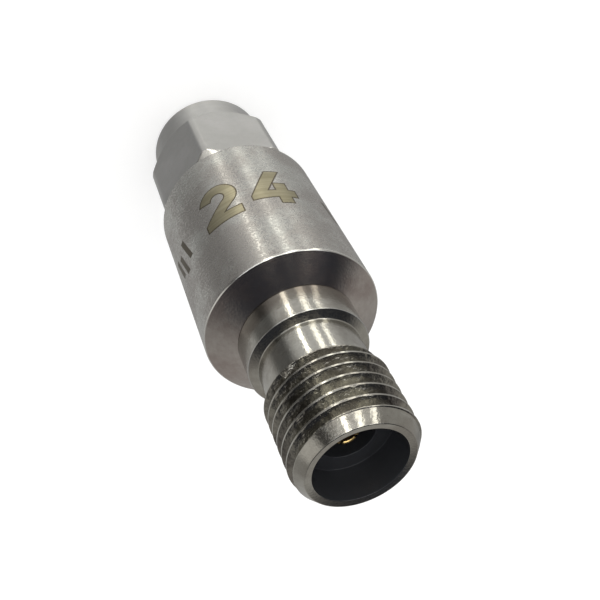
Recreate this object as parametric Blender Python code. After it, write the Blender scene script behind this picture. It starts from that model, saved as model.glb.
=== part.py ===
"""Fixed coaxial attenuator: a threaded jack at the top, a plug with a spinning hex nut at the bottom.

The part stands on the end face of its coupling nut, with the axis along +Z.
All sizes are in metres.
"""

from math import ceil, cos, floor, pi, radians, sin, tan

import bmesh
import bpy
from mathutils import Matrix

# Lengths of the outside, from the nut's end face up to the jack's mouth
NUT_LENGTH = 0.00830
NUT_TO_SLEEVE_GAP = 0.00037
SLEEVE_LENGTH = 0.01093
NOSE_HEIGHT = 0.00083
COLLAR_LENGTH = 0.00193
NECK_FILLET_HEIGHT = 0.00025
NECK_LENGTH = 0.00208
THREAD_LENGTH = 0.00432
LEAD_IN_LENGTH = 0.00059

# Clearances and edges
SEAT = 0.00002
FIT = 0.00003
NUT_RUNNING_CLEARANCE = 0.00008
MATING_CLEARANCE = 0.000025
EDGE = 0.00008
FINE_EDGE = 0.00004

# Jack, outwards and inwards from its 1/4-36 thread
THREAD_RADIUS = 0.003175
THREAD_PITCH = 0.0254 / 36
THREAD_CREST_SHARE = 1 / 8
THREAD_DEPTH_SHARE = 0.6
THREAD_FLANK_DEGREES = 30.0
THREAD_END_DEGREES = -100.0
THREAD_RUNOUT = 0.00026
THREAD_FADE = 0.00012
NECK_DEPTH = 0.000425
NECK_FILLET_REACH = 0.00020
LEAD_IN_STEP = 0.000065
LEAD_IN_DROP = 0.000499
COLLAR_OVER_THREAD = 0.000065
MOUTH_RIM_WALL = 0.000351
MOUTH_CHAMFER = 0.00004
MOUTH_DEPTH = 0.00192
SPIGOT_STEP = 0.00037
REFERENCE_FACE_WIDTH = 0.000865
BEAD_SHOULDER_STEP = 0.00049

# Coupling nut, outwards from the same thread
NUT_THREAD_DEPTH = 0.000375
NUT_LEAD_IN = 0.00045
NUT_END_WALL = 0.000555
NUT_ROUND_LENGTH = 0.00228
NUT_SNAP_GROOVE_DEPTH = 0.00034
NUT_SHOULDER_ABOVE_SHANK_START = 0.00020
HEX_FLAT_STEP = 0.00027
HEX_CORNER_HEIGHT = 0.00050
HEX_REAR_CHAMFER = 0.00085
HEX_TURN_DEGREES = 3.0

# Sleeve
SLEEVE_OVER_HEX = 0.00033
SLEEVE_WALL = 0.00088
SLEEVE_FRONT_WALL = 0.00213

# Plug shell
REFERENCE_PLANE_HEIGHT = 0.00260
SHANK_START_HEIGHT = 0.00500
SHANK_BELOW_NUT_THREAD = 0.00018
PLUG_FLANGE_RECESS = 0.00010
PLUG_FLANGE_LENGTH = 0.00153
SNAP_GROOVE_START = 0.00100
SNAP_GROOVE_WIDTH = 0.00050
SNAP_GROOVE_DEPTH = 0.00045

# Snap ring between plug shell and nut
SNAP_RING_THICKNESS = 0.00050
SNAP_RING_WIDTH = 0.00040
SNAP_RING_GAP = 0.00100
SNAP_RING_LIFT = 0.00021

# Centre contacts, each in two halves screwed together through their bead
PIN_RADIUS = 0.00046
PIN_REACH = 0.00150
PIN_TIP_RADIUS = 0.00018
PIN_TIP_TAPER = 0.00035
CONTACT_WALL = 0.000165
SOCKET_DEPTH = 0.00266
SOCKET_SLOT_DEPTH = 0.00235
SOCKET_SLOT_WIDTH = 0.00015
STUD_RADIUS = 0.00030
STUD_LENGTH = 0.00078
STUD_HOLE_SPARE = 0.00010
BEAD_NECK_STEP = 0.00008

# Support beads
JACK_BEAD_LENGTH = 0.00140
PLUG_BEAD_LENGTH = 0.00110
PLUG_BEAD_RING_LENGTH = 0.00071
BEAD_HOLE_COUNT = 6
BEAD_HOLE_RADIUS = 0.00028
BEAD_HOLE_TURN_DEGREES = 6.0

# Attenuator chip and what holds it
CHIP_LENGTH = 0.00510
CHIP_WIDTH = 0.00300
CHIP_THICKNESS = 0.00038
FILM_THICKNESS = 0.00004
PAD_LENGTH = 0.00085
PAD_WIDTH = 0.00090
GROUND_PAD_WIDTH = 0.00046
CARRIER_CHANNEL_WIDTH = 0.00160
CARRIER_CHANNEL_DEPTH = 0.00120
DOWEL_RADIUS = 0.00035
DOWEL_LENGTH = 0.00260
DOWEL_RIM_DISTANCE = 0.00132
DOWEL_END_DISTANCE = 0.00180
WASHER_ROOM = 0.00050
WASHER_THICKNESS = 0.00012
WASHER_WIDTH = 0.00110
WASHER_RIM_CLEARANCE = 0.00022
WASHER_WAVES = 3
STEM_TO_CHIP_GAP = 0.00030
TAB_WIDTH = 0.00060
TAB_THICKNESS = 0.00010
TAB_GRIP = 0.00050
TAB_REACH = 0.00070
TAB_ARCH = 0.00030
SPRING_THICKNESS = 0.00006
SPRING_SIDE_CLEARANCE = 0.00003
SPRING_HEIGHT = 0.00026
SPRING_WAVES = 7

# Facets round the axis, steps along the bent strips, and how near two points are joined
SLEEVE_FACETS = 72
NUT_FACETS = 72
JACK_FACETS = 48
PLUG_FACETS = 48
INNER_FACETS = 24
SMALL_FACETS = 12
WELD = 0.0000001
TAB_ARCH_STEPS = 12
SPRING_WAVE_STEPS = 6

# Radii, worked out from the thread and the line
THREAD_CREST = THREAD_CREST_SHARE * THREAD_PITCH
THREAD_ROOT_RADIUS = THREAD_RADIUS - THREAD_DEPTH_SHARE * THREAD_PITCH
THREAD_FLANK = (THREAD_RADIUS - THREAD_ROOT_RADIUS) * tan(radians(THREAD_FLANK_DEGREES))
NECK_RADIUS = THREAD_RADIUS - NECK_DEPTH
COLLAR_RADIUS = THREAD_RADIUS + COLLAR_OVER_THREAD
MOUTH_RIM_RADIUS = THREAD_RADIUS - LEAD_IN_DROP
MOUTH_RADIUS = MOUTH_RIM_RADIUS - MOUTH_RIM_WALL
LINE_RADIUS = MOUTH_RADIUS - REFERENCE_FACE_WIDTH
SPIGOT_RADIUS = COLLAR_RADIUS - SPIGOT_STEP
BEAD_BORE_RADIUS = LINE_RADIUS + BEAD_SHOULDER_STEP
NUT_THREAD_RADIUS = THREAD_RADIUS - NUT_THREAD_DEPTH
NUT_END_RADIUS = THREAD_RADIUS + NUT_END_WALL
HEX_FLAT_RADIUS = NUT_END_RADIUS + HEX_FLAT_STEP
HEX_CORNER_RADIUS = HEX_FLAT_RADIUS + HEX_CORNER_HEIGHT
SLEEVE_RADIUS = HEX_CORNER_RADIUS + SLEEVE_OVER_HEX
SLEEVE_BORE_RADIUS = SLEEVE_RADIUS - SLEEVE_WALL
PLUG_TUBE_RADIUS = MOUTH_RADIUS - MATING_CLEARANCE
SHANK_RADIUS = NUT_THREAD_RADIUS - SHANK_BELOW_NUT_THREAD
SNAP_GROOVE_FLOOR = SHANK_RADIUS - SNAP_GROOVE_DEPTH
SNAP_RING_INNER_RADIUS = SNAP_GROOVE_FLOOR + SNAP_RING_LIFT
SOCKET_BORE_RADIUS = PIN_RADIUS + SEAT / 2
CONTACT_RADIUS = SOCKET_BORE_RADIUS + CONTACT_WALL
BEAD_NECK_RADIUS = STUD_RADIUS + BEAD_NECK_STEP
CARRIER_RADIUS = SLEEVE_BORE_RADIUS - FIT
DOWEL_OFFSET = CARRIER_RADIUS - DOWEL_RIM_DISTANCE
WASHER_OUTER_RADIUS = CARRIER_RADIUS - WASHER_RIM_CLEARANCE
WASHER_INNER_RADIUS = WASHER_OUTER_RADIUS - WASHER_WIDTH

# Heights of the seats, worked out from the lengths above
SLEEVE_BOTTOM = NUT_LENGTH + NUT_TO_SLEEVE_GAP
SLEEVE_SHOULDER = SLEEVE_BOTTOM + SLEEVE_LENGTH
NOSE_TOP = SLEEVE_SHOULDER + NOSE_HEIGHT
COLLAR_TOP = NOSE_TOP + COLLAR_LENGTH
NECK_BOTTOM = COLLAR_TOP + NECK_FILLET_HEIGHT
THREAD_BOTTOM = NECK_BOTTOM + NECK_LENGTH
THREAD_TOP = THREAD_BOTTOM + THREAD_LENGTH
MOUTH_HEIGHT = THREAD_TOP + LEAD_IN_LENGTH
THREAD_START = THREAD_TOP + THREAD_CREST / 2 - THREAD_PITCH * THREAD_END_DEGREES / 360
SOCKET_FACE = MOUTH_HEIGHT - MOUTH_DEPTH
SNAP_GROOVE_HEIGHT = SHANK_START_HEIGHT + SNAP_GROOVE_START
NUT_SHOULDER = SHANK_START_HEIGHT + NUT_SHOULDER_ABOVE_SHANK_START

FRONT_WALL_BOTTOM = NOSE_TOP - SLEEVE_FRONT_WALL
SPIGOT_BOTTOM = FRONT_WALL_BOTTOM - SEAT
PLUG_FLANGE_BOTTOM = SLEEVE_BOTTOM + PLUG_FLANGE_RECESS
PLUG_FLANGE_TOP = PLUG_FLANGE_BOTTOM + PLUG_FLANGE_LENGTH

JACK_BEAD_TOP = COLLAR_TOP - SEAT
JACK_BEAD_BOTTOM = JACK_BEAD_TOP - JACK_BEAD_LENGTH
PLUG_BEAD_TOP = PLUG_FLANGE_TOP - PLUG_BEAD_RING_LENGTH - SEAT
PLUG_BEAD_BOTTOM = PLUG_BEAD_TOP - PLUG_BEAD_LENGTH

CARRIER_TOP = SPIGOT_BOTTOM - SEAT
CARRIER_BOTTOM = PLUG_FLANGE_TOP + WASHER_ROOM
CARRIER_MIDDLE = (CARRIER_TOP + CARRIER_BOTTOM) / 2
CHIP_TOP = CARRIER_MIDDLE + CHIP_LENGTH / 2
CHIP_BOTTOM = CARRIER_MIDDLE - CHIP_LENGTH / 2
CHIP_POCKET_TOP = CHIP_TOP + 2 * SEAT
CHIP_POCKET_BOTTOM = CHIP_BOTTOM - 2 * SEAT
CHIP_FACE = -SEAT
FILM_BACK = CHIP_FACE + SEAT / 2
FILM_FRONT = FILM_BACK + FILM_THICKNESS
JACK_STEM_END = CHIP_TOP + STEM_TO_CHIP_GAP
PLUG_STEM_END = CHIP_BOTTOM - STEM_TO_CHIP_GAP
TAB_MIDDLE = FILM_FRONT + SEAT + TAB_THICKNESS / 2

# Colours, roughness and metallic of the finishes
STEEL = ((0.52, 0.52, 0.51), 0.33, 1.0)
GOLD = ((0.85, 0.62, 0.28), 0.25, 1.0)
BRASS = ((0.72, 0.56, 0.30), 0.35, 1.0)
SPRING_COPPER = ((0.78, 0.50, 0.32), 0.30, 1.0)
BEAD_PLASTIC = ((0.62, 0.42, 0.18), 0.45, 0.0)
CERAMIC = ((0.88, 0.87, 0.84), 0.50, 0.0)
RESISTIVE = ((0.10, 0.10, 0.11), 0.55, 0.3)


def clear_scene():
    """Remove every object of the scene."""
    for old in list(bpy.data.objects):
        bpy.data.objects.remove(old, do_unlink=True)


def finish_material(name, finish):
    """A Principled material of its own for one piece."""
    colour, roughness, metallic = finish
    made = bpy.data.materials.new(name)
    made.use_nodes = True
    shader = made.node_tree.nodes["Principled BSDF"]
    shader.inputs["Base Color"].default_value = (*colour, 1.0)
    shader.inputs["Roughness"].default_value = roughness
    shader.inputs["Metallic"].default_value = metallic
    return made


def piece(name, bm, finish):
    """Turn a bmesh into a named object with its own material."""
    bmesh.ops.recalc_face_normals(bm, faces=bm.faces)
    mesh = bpy.data.meshes.new(name)
    bm.to_mesh(mesh)
    bm.free()
    mesh.shade_smooth()
    mesh.set_sharp_from_angle(angle=radians(20))
    mesh.materials.append(finish_material(name, finish))
    made = bpy.data.objects.new(name, mesh)
    bpy.context.scene.collection.objects.link(made)
    return made


def cutter(name, bm):
    """A hidden shape that a Boolean takes away."""
    bmesh.ops.recalc_face_normals(bm, faces=bm.faces)
    mesh = bpy.data.meshes.new(name)
    bm.to_mesh(mesh)
    bm.free()
    made = bpy.data.objects.new(name, mesh)
    made.hide_render = True
    made.display_type = "WIRE"
    bpy.context.scene.collection.objects.link(made)
    return made


def combine(target, tool, operation="DIFFERENCE"):
    """Add a Boolean with the EXACT solver to the target."""
    step = target.modifiers.new(tool.name, "BOOLEAN")
    step.operation = operation
    step.solver = "EXACT"
    step.object = tool


def lathe(profile, facets):
    """Turn a profile of (radius, height) points round Z.

    A profile that starts and ends on the axis is closed by two poles.
    Any other profile is a loop round the wall of a hollow piece.
    """
    bm = bmesh.new()
    rings = []
    for radius, height in profile:
        if radius == 0.0:
            rings.append([bm.verts.new((0.0, 0.0, height))])
            continue
        ring = []
        for index in range(facets):
            angle = 2 * pi * index / facets
            ring.append(bm.verts.new((radius * cos(angle), radius * sin(angle), height)))
        rings.append(ring)
    on_axis = profile[0][0] == 0.0 and profile[-1][0] == 0.0
    pairs = list(zip(rings, rings[1:]))
    if not on_axis:
        pairs.append((rings[-1], rings[0]))
    for lower, upper in pairs:
        for index in range(facets):
            after = (index + 1) % facets
            if len(lower) == 1:
                bm.faces.new((lower[0], upper[after], upper[index]))
            elif len(upper) == 1:
                bm.faces.new((lower[index], lower[after], upper[0]))
            else:
                bm.faces.new((lower[index], lower[after], upper[after], upper[index]))
    return bm


def plain_rings(profile, facets):
    """Level rings of (radius, height), one for each point of a profile."""
    return [[(radius, height)] * (facets + 1) for radius, height in profile]


def ring_wall(rings):
    """Join rings of (radius, height) into a closed wall round Z. A ring's last point meets its first."""
    bm = bmesh.new()
    rows = []
    for ring in rings:
        row = []
        for index, (radius, height) in enumerate(ring):
            angle = 2 * pi * index / (len(ring) - 1)
            row.append(bm.verts.new((radius * cos(angle), radius * sin(angle), height)))
        rows.append(row)
    for lower, upper in zip(rows, rows[1:] + rows[:1]):
        for index in range(len(lower) - 1):
            bm.faces.new((lower[index], lower[index + 1], upper[index + 1], upper[index]))
    bmesh.ops.remove_doubles(bm, verts=bm.verts, dist=WELD)
    return bm


def thread_radius(height, turned):
    """Radius of the jack's thread at a height, after a share of a turn."""
    climb = (height - THREAD_START) / THREAD_PITCH - turned
    from_crest = abs(climb - round(climb)) * THREAD_PITCH - THREAD_CREST / 2
    share = min(max(from_crest / THREAD_FLANK, 0.0), 1.0)
    return THREAD_RADIUS + share * (THREAD_ROOT_RADIUS - THREAD_RADIUS)


def thread_rings(low, high, facets):
    """Rings along the edges of crest and root that climb a pitch a turn, held level at both ends."""
    foot = THREAD_CREST / 2 + THREAD_FLANK
    edges = (-foot, -THREAD_CREST / 2, THREAD_CREST / 2, foot)
    first = floor((low - THREAD_START) / THREAD_PITCH) - 1
    last = ceil((high - THREAD_START) / THREAD_PITCH) + 1
    rings = []
    for turn in range(first, last + 1):
        for edge in edges:
            ring = []
            for index in range(facets + 1):
                turned = index / facets
                climbed = THREAD_START + (turn + turned) * THREAD_PITCH + edge
                height = min(max(climbed, low), high)
                ring.append((thread_radius(height, turned), height))
            rings.append(ring)
    return rings


def block(low, high):
    """A box between two corners."""
    bm = bmesh.new()
    bmesh.ops.create_cube(bm, size=1.0)
    size = [high[axis] - low[axis] for axis in range(3)]
    middle = [(high[axis] + low[axis]) / 2 for axis in range(3)]
    place = Matrix.Translation(middle) @ Matrix.Diagonal((*size, 1.0))
    bmesh.ops.transform(bm, matrix=place, verts=bm.verts)
    return bm


def prism(outline, start, end, axis="Z"):
    """Extrude a flat outline from start to end along an axis.

    Along Z the outline is in (x, y), along Y in (x, z), along X in (y, z).
    """
    place = {
        "Z": lambda first, second, along: (first, second, along),
        "Y": lambda first, second, along: (first, along, second),
        "X": lambda first, second, along: (along, first, second),
    }[axis]
    bm = bmesh.new()
    near = [bm.verts.new(place(first, second, start)) for first, second in outline]
    far = [bm.verts.new(place(first, second, end)) for first, second in outline]
    bm.faces.new(near)
    bm.faces.new(list(reversed(far)))
    for index in range(len(outline)):
        after = (index + 1) % len(outline)
        bm.faces.new((near[index], near[after], far[after], far[index]))
    bmesh.ops.triangulate(bm, faces=[face for face in bm.faces if len(face.verts) > 4])
    return bm


def circle_points(radius, facets, centre=(0.0, 0.0)):
    """Points of a circle, in order."""
    angles = [2 * pi * index / facets for index in range(facets)]
    return [(centre[0] + radius * cos(a), centre[1] + radius * sin(a)) for a in angles]


def body_sleeve():
    """Outer barrel: open at the rear, with a shallow cone and a hole in front."""
    nose_slope = NOSE_HEIGHT / (SLEEVE_RADIUS - COLLAR_RADIUS)
    profile = [
        (SLEEVE_BORE_RADIUS + EDGE, SLEEVE_BOTTOM),
        (SLEEVE_RADIUS - EDGE, SLEEVE_BOTTOM),
        (SLEEVE_RADIUS, SLEEVE_BOTTOM + EDGE),
        (SLEEVE_RADIUS, SLEEVE_SHOULDER - EDGE),
        (SLEEVE_RADIUS - EDGE, SLEEVE_SHOULDER + nose_slope * EDGE),
        (COLLAR_RADIUS, NOSE_TOP),
        (SPIGOT_RADIUS + FIT, NOSE_TOP),
        (SPIGOT_RADIUS + FIT, FRONT_WALL_BOTTOM),
        (SLEEVE_BORE_RADIUS, FRONT_WALL_BOTTOM),
        (SLEEVE_BORE_RADIUS, SLEEVE_BOTTOM + EDGE),
    ]
    return piece("body_sleeve", lathe(profile, SLEEVE_FACETS), STEEL)


def jack_shell():
    """Jack's outer conductor: spigot, collar, neck and threaded barrel, bored right through."""
    below_thread = [
        (BEAD_BORE_RADIUS, SPIGOT_BOTTOM),
        (SPIGOT_RADIUS - EDGE, SPIGOT_BOTTOM),
        (SPIGOT_RADIUS, SPIGOT_BOTTOM + EDGE),
        (SPIGOT_RADIUS, NOSE_TOP + SEAT),
        (COLLAR_RADIUS, NOSE_TOP + SEAT),
        (COLLAR_RADIUS, COLLAR_TOP - FINE_EDGE),
        (COLLAR_RADIUS - FINE_EDGE, COLLAR_TOP),
        (NECK_RADIUS + NECK_FILLET_REACH, COLLAR_TOP),
        (NECK_RADIUS, NECK_BOTTOM),
        (NECK_RADIUS, THREAD_BOTTOM),
    ]
    lead_in_radius = THREAD_RADIUS - LEAD_IN_STEP
    lead_in_slope = (lead_in_radius - MOUTH_RIM_RADIUS) / LEAD_IN_LENGTH
    above_thread = [
        (lead_in_radius - lead_in_slope * THREAD_FADE, THREAD_TOP + THREAD_FADE),
        (MOUTH_RIM_RADIUS, MOUTH_HEIGHT),
        (MOUTH_RADIUS + MOUTH_CHAMFER, MOUTH_HEIGHT),
        (MOUTH_RADIUS, MOUTH_HEIGHT - MOUTH_CHAMFER),
        (MOUTH_RADIUS, SOCKET_FACE),
        (LINE_RADIUS, SOCKET_FACE),
        (LINE_RADIUS, COLLAR_TOP),
        (BEAD_BORE_RADIUS, COLLAR_TOP),
    ]
    rings = plain_rings(below_thread, JACK_FACETS)
    rings += thread_rings(THREAD_BOTTOM + THREAD_RUNOUT, THREAD_TOP, JACK_FACETS)
    rings += plain_rings(above_thread, JACK_FACETS)
    return piece("jack_shell", ring_wall(rings), STEEL)


def plug_shell():
    """Plug's outer conductor: front tube, grooved shank for the nut, and the flange in the sleeve."""
    flange_radius = SLEEVE_BORE_RADIUS - FIT
    bead_shoulder = PLUG_BEAD_BOTTOM - SEAT
    profile = [
        (LINE_RADIUS, REFERENCE_PLANE_HEIGHT),
        (PLUG_TUBE_RADIUS - FINE_EDGE, REFERENCE_PLANE_HEIGHT),
        (PLUG_TUBE_RADIUS, REFERENCE_PLANE_HEIGHT + FINE_EDGE),
        (PLUG_TUBE_RADIUS, SHANK_START_HEIGHT),
        (SHANK_RADIUS - EDGE, SHANK_START_HEIGHT),
        (SHANK_RADIUS, SHANK_START_HEIGHT + EDGE),
        (SHANK_RADIUS, SNAP_GROOVE_HEIGHT),
        (SNAP_GROOVE_FLOOR, SNAP_GROOVE_HEIGHT),
        (SNAP_GROOVE_FLOOR, SNAP_GROOVE_HEIGHT + SNAP_GROOVE_WIDTH),
        (SHANK_RADIUS, SNAP_GROOVE_HEIGHT + SNAP_GROOVE_WIDTH),
        (SHANK_RADIUS, PLUG_FLANGE_BOTTOM),
        (flange_radius - EDGE, PLUG_FLANGE_BOTTOM),
        (flange_radius, PLUG_FLANGE_BOTTOM + EDGE),
        (flange_radius, PLUG_FLANGE_TOP),
        (BEAD_BORE_RADIUS, PLUG_FLANGE_TOP),
        (BEAD_BORE_RADIUS, bead_shoulder),
        (LINE_RADIUS, bead_shoulder),
    ]
    return piece("plug_shell", lathe(profile, PLUG_FACETS), STEEL)


def coupling_nut():
    """Hexagon nut, turned at both ends and bored for its thread, its snap ring and the shank."""
    rear_bore = SHANK_RADIUS + NUT_RUNNING_CLEARANCE
    groove_spare = (SNAP_GROOVE_WIDTH - SNAP_RING_WIDTH) / 2
    groove_bottom = SNAP_GROOVE_HEIGHT - groove_spare
    groove_top = SNAP_GROOVE_HEIGHT + SNAP_GROOVE_WIDTH + groove_spare
    groove_radius = rear_bore + NUT_SNAP_GROOVE_DEPTH
    front_cone = HEX_CORNER_RADIUS - NUT_END_RADIUS
    profile = [
        (NUT_THREAD_RADIUS + NUT_LEAD_IN, 0.0),
        (NUT_END_RADIUS - 2 * EDGE, 0.0),
        (NUT_END_RADIUS, 2 * EDGE),
        (NUT_END_RADIUS, NUT_ROUND_LENGTH),
        (HEX_CORNER_RADIUS, NUT_ROUND_LENGTH + front_cone),
        (HEX_CORNER_RADIUS, NUT_LENGTH - HEX_REAR_CHAMFER),
        (HEX_CORNER_RADIUS - HEX_REAR_CHAMFER, NUT_LENGTH),
        (rear_bore + FINE_EDGE, NUT_LENGTH),
        (rear_bore, NUT_LENGTH - FINE_EDGE),
        (rear_bore, groove_top),
        (groove_radius, groove_top),
        (groove_radius, groove_bottom),
        (rear_bore, groove_bottom),
        (rear_bore, NUT_SHOULDER),
        (NUT_THREAD_RADIUS, NUT_SHOULDER),
        (NUT_THREAD_RADIUS, NUT_LEAD_IN),
    ]
    nut = piece("coupling_nut", lathe(profile, NUT_FACETS), STEEL)
    corner = HEX_FLAT_RADIUS / cos(pi / 6)
    turn = radians(HEX_TURN_DEGREES) - pi / 2
    corners = [(corner * cos(turn + k * pi / 3), corner * sin(turn + k * pi / 3)) for k in range(6)]
    hexagon = cutter("hexagon_stock", prism(corners, -EDGE, NUT_LENGTH + EDGE))
    combine(nut, hexagon, "INTERSECT")
    return nut


def nut_retaining_ring():
    """Split snap ring that lies half in the shank's groove and half in the nut's."""
    low = SNAP_GROOVE_HEIGHT + (SNAP_GROOVE_WIDTH - SNAP_RING_WIDTH) / 2
    high = low + SNAP_RING_WIDTH
    outer = SNAP_RING_INNER_RADIUS + SNAP_RING_THICKNESS
    profile = [
        (SNAP_RING_INNER_RADIUS, low),
        (outer, low),
        (outer, high),
        (SNAP_RING_INNER_RADIUS, high),
    ]
    ring = piece("nut_retaining_ring", lathe(profile, 2 * INNER_FACETS), SPRING_COPPER)
    half = SNAP_RING_GAP / 2
    opening = block((0.0, -half, low - EDGE), (outer + EDGE, half, high + EDGE))
    combine(ring, cutter("snap_ring_opening", opening))
    return ring


def jack_contact():
    """Slotted socket in the jack: four fingers round the hole for a pin."""
    front = SOCKET_FACE - SEAT
    back = JACK_BEAD_TOP + SEAT
    stud_hole = back + STUD_LENGTH + STUD_HOLE_SPARE
    hole_radius = STUD_RADIUS + SEAT
    floor = front - SOCKET_DEPTH
    profile = [
        (0.0, floor),
        (SOCKET_BORE_RADIUS, floor),
        (SOCKET_BORE_RADIUS, front - FINE_EDGE),
        (SOCKET_BORE_RADIUS + FINE_EDGE, front),
        (CONTACT_RADIUS - FINE_EDGE, front),
        (CONTACT_RADIUS, front - FINE_EDGE),
        (CONTACT_RADIUS, back),
        (hole_radius, back),
        (hole_radius, stud_hole),
        (0.0, stud_hole),
    ]
    contact = piece("jack_contact", lathe(profile, INNER_FACETS), GOLD)
    half = SOCKET_SLOT_WIDTH / 2
    reach = CONTACT_RADIUS + EDGE
    low = front - SOCKET_SLOT_DEPTH
    high = front + EDGE
    slot_turn = Matrix.Rotation(pi / 4, 4, "Z")
    slots = (
        ("socket_slot_first", (-reach, -half, low), (reach, half, high)),
        ("socket_slot_second", (-half, -reach, low), (half, reach, high)),
    )
    for name, near, far in slots:
        slot = block(near, far)
        bmesh.ops.transform(slot, matrix=slot_turn, verts=slot.verts)
        combine(contact, cutter(name, slot))
    return contact


def contact_stem(name, bead_front, bead_back, stem_end):
    """Rear half of a centre contact: stud, neck through the bead, and a stem slotted for its tab."""
    towards_front = 1.0 if bead_front > bead_back else -1.0
    stud_end = bead_front + towards_front * (SEAT + STUD_LENGTH)
    shoulder = bead_back - towards_front * SEAT
    profile = [
        (0.0, stud_end),
        (STUD_RADIUS, stud_end),
        (STUD_RADIUS, bead_front),
        (BEAD_NECK_RADIUS, bead_front),
        (BEAD_NECK_RADIUS, shoulder),
        (CONTACT_RADIUS, shoulder),
        (CONTACT_RADIUS, stem_end),
        (0.0, stem_end),
    ]
    stem = piece(name, lathe(profile, INNER_FACETS), GOLD)
    grip_end = stem_end + towards_front * (TAB_GRIP + SEAT)
    open_end = stem_end - towards_front * EDGE
    half_width = CONTACT_RADIUS + EDGE
    half_thickness = TAB_THICKNESS / 2 + SEAT
    slot = block(
        (-half_width, TAB_MIDDLE - half_thickness, min(grip_end, open_end)),
        (half_width, TAB_MIDDLE + half_thickness, max(grip_end, open_end)),
    )
    combine(stem, cutter(name + "_slot", slot))
    return stem


def plug_pin():
    """Pin of the plug, tapered at its tip and shouldered at the reference plane."""
    shoulder = REFERENCE_PLANE_HEIGHT + SEAT
    back = PLUG_BEAD_BOTTOM - SEAT
    stud_hole = back - STUD_LENGTH - STUD_HOLE_SPARE
    hole_radius = STUD_RADIUS + SEAT
    tip = REFERENCE_PLANE_HEIGHT - PIN_REACH
    profile = [
        (0.0, tip),
        (PIN_TIP_RADIUS, tip),
        (PIN_RADIUS, tip + PIN_TIP_TAPER),
        (PIN_RADIUS, shoulder),
        (CONTACT_RADIUS, shoulder),
        (CONTACT_RADIUS, back),
        (hole_radius, back),
        (hole_radius, stud_hole),
        (0.0, stud_hole),
    ]
    return piece("plug_pin", lathe(profile, INNER_FACETS), GOLD)


def support_bead(name, low, high):
    """Plastic disc that holds a centre contact, with a circle of holes through it."""
    neck = BEAD_NECK_RADIUS + SEAT
    rim = BEAD_BORE_RADIUS - SEAT
    pitch_radius = (neck + rim) / 2
    profile = [(neck, low), (rim, low), (rim, high), (neck, high)]
    bead = piece(name, lathe(profile, INNER_FACETS), BEAD_PLASTIC)
    for index in range(BEAD_HOLE_COUNT):
        angle = 2 * pi * index / BEAD_HOLE_COUNT + radians(BEAD_HOLE_TURN_DEGREES)
        centre = (pitch_radius * cos(angle), pitch_radius * sin(angle))
        outline = circle_points(BEAD_HOLE_RADIUS, SMALL_FACETS, centre)
        hole = cutter(f"{name}_hole_{index + 1}", prism(outline, low - EDGE, high + EDGE))
        combine(bead, hole)
    return bead


def bead_ring(name, low, high):
    """Metal ring pressed in behind a bead, bored to the line's own size."""
    rim = BEAD_BORE_RADIUS - SEAT
    profile = [(LINE_RADIUS, low), (rim, low), (rim, high), (LINE_RADIUS, high)]
    return piece(name, lathe(profile, INNER_FACETS), BRASS)


def attenuator_chip():
    """Ceramic plate that carries the resistive films."""
    half = CHIP_WIDTH / 2
    plate = block((-half, CHIP_FACE - CHIP_THICKNESS, CHIP_BOTTOM), (half, CHIP_FACE, CHIP_TOP))
    return piece("attenuator_chip", plate, CERAMIC)


def film(name, outline, finish):
    """Thin film on the chip, from an outline in (x, z)."""
    return piece(name, prism(outline, FILM_BACK, FILM_FRONT, "Y"), finish)


def rectangle(left, right, low, high):
    """Corners of a rectangle, in order."""
    return [(left, low), (right, low), (right, high), (left, high)]


def chip_films():
    """Contact pads at the ends, ground pads along the sides, and the resistive film between them."""
    half_pad = PAD_WIDTH / 2
    low = CHIP_BOTTOM + EDGE
    high = CHIP_TOP - EDGE
    film("chip_output_pad", rectangle(-half_pad, half_pad, low, low + PAD_LENGTH), GOLD)
    film("chip_input_pad", rectangle(-half_pad, half_pad, high - PAD_LENGTH, high), GOLD)
    ground_outer = CHIP_WIDTH / 2 - SEAT
    ground_inner = ground_outer - GROUND_PAD_WIDTH
    film("chip_ground_pad_left", rectangle(-ground_outer, -ground_inner, low, high), GOLD)
    film("chip_ground_pad_right", rectangle(ground_inner, ground_outer, low, high), GOLD)

    reach = ground_inner - SEAT
    film_low = low + PAD_LENGTH + SEAT
    film_high = high - PAD_LENGTH - SEAT
    film("resistor_film", rectangle(-reach, reach, film_low, film_high), RESISTIVE)


def ribbon(name, points, thickness, left, right, finish):
    """Bent strip: a flat section follows centre points in (y, z) and is as wide as left to right in X."""
    half = thickness / 2
    bm = bmesh.new()
    sections = []
    for y, z in points:
        corners = ((left, y - half), (right, y - half), (right, y + half), (left, y + half))
        sections.append([bm.verts.new((x, side, z)) for x, side in corners])
    for lower, upper in zip(sections, sections[1:]):
        for index in range(4):
            after = (index + 1) % 4
            bm.faces.new((lower[index], lower[after], upper[after], upper[index]))
    bm.faces.new(sections[0])
    bm.faces.new(list(reversed(sections[-1])))
    return piece(name, bm, finish)


def contact_tab(name, stem_end, towards_chip):
    """Arched spring tab from the slot in a stem to the pad at the end of the chip."""
    start = stem_end - towards_chip * TAB_GRIP
    arch_end = stem_end + towards_chip * (STEM_TO_CHIP_GAP + TAB_REACH / 2)
    tip = stem_end + towards_chip * (STEM_TO_CHIP_GAP + TAB_REACH)
    points = [(TAB_MIDDLE, start)]
    for step in range(TAB_ARCH_STEPS + 1):
        share = step / TAB_ARCH_STEPS
        rise = TAB_ARCH * sin(pi * share) ** 2
        points.append((TAB_MIDDLE + rise, stem_end + share * (arch_end - stem_end)))
    points.append((TAB_MIDDLE, tip))
    return ribbon(name, points, TAB_THICKNESS, -TAB_WIDTH / 2, TAB_WIDTH / 2, SPRING_COPPER)


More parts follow.
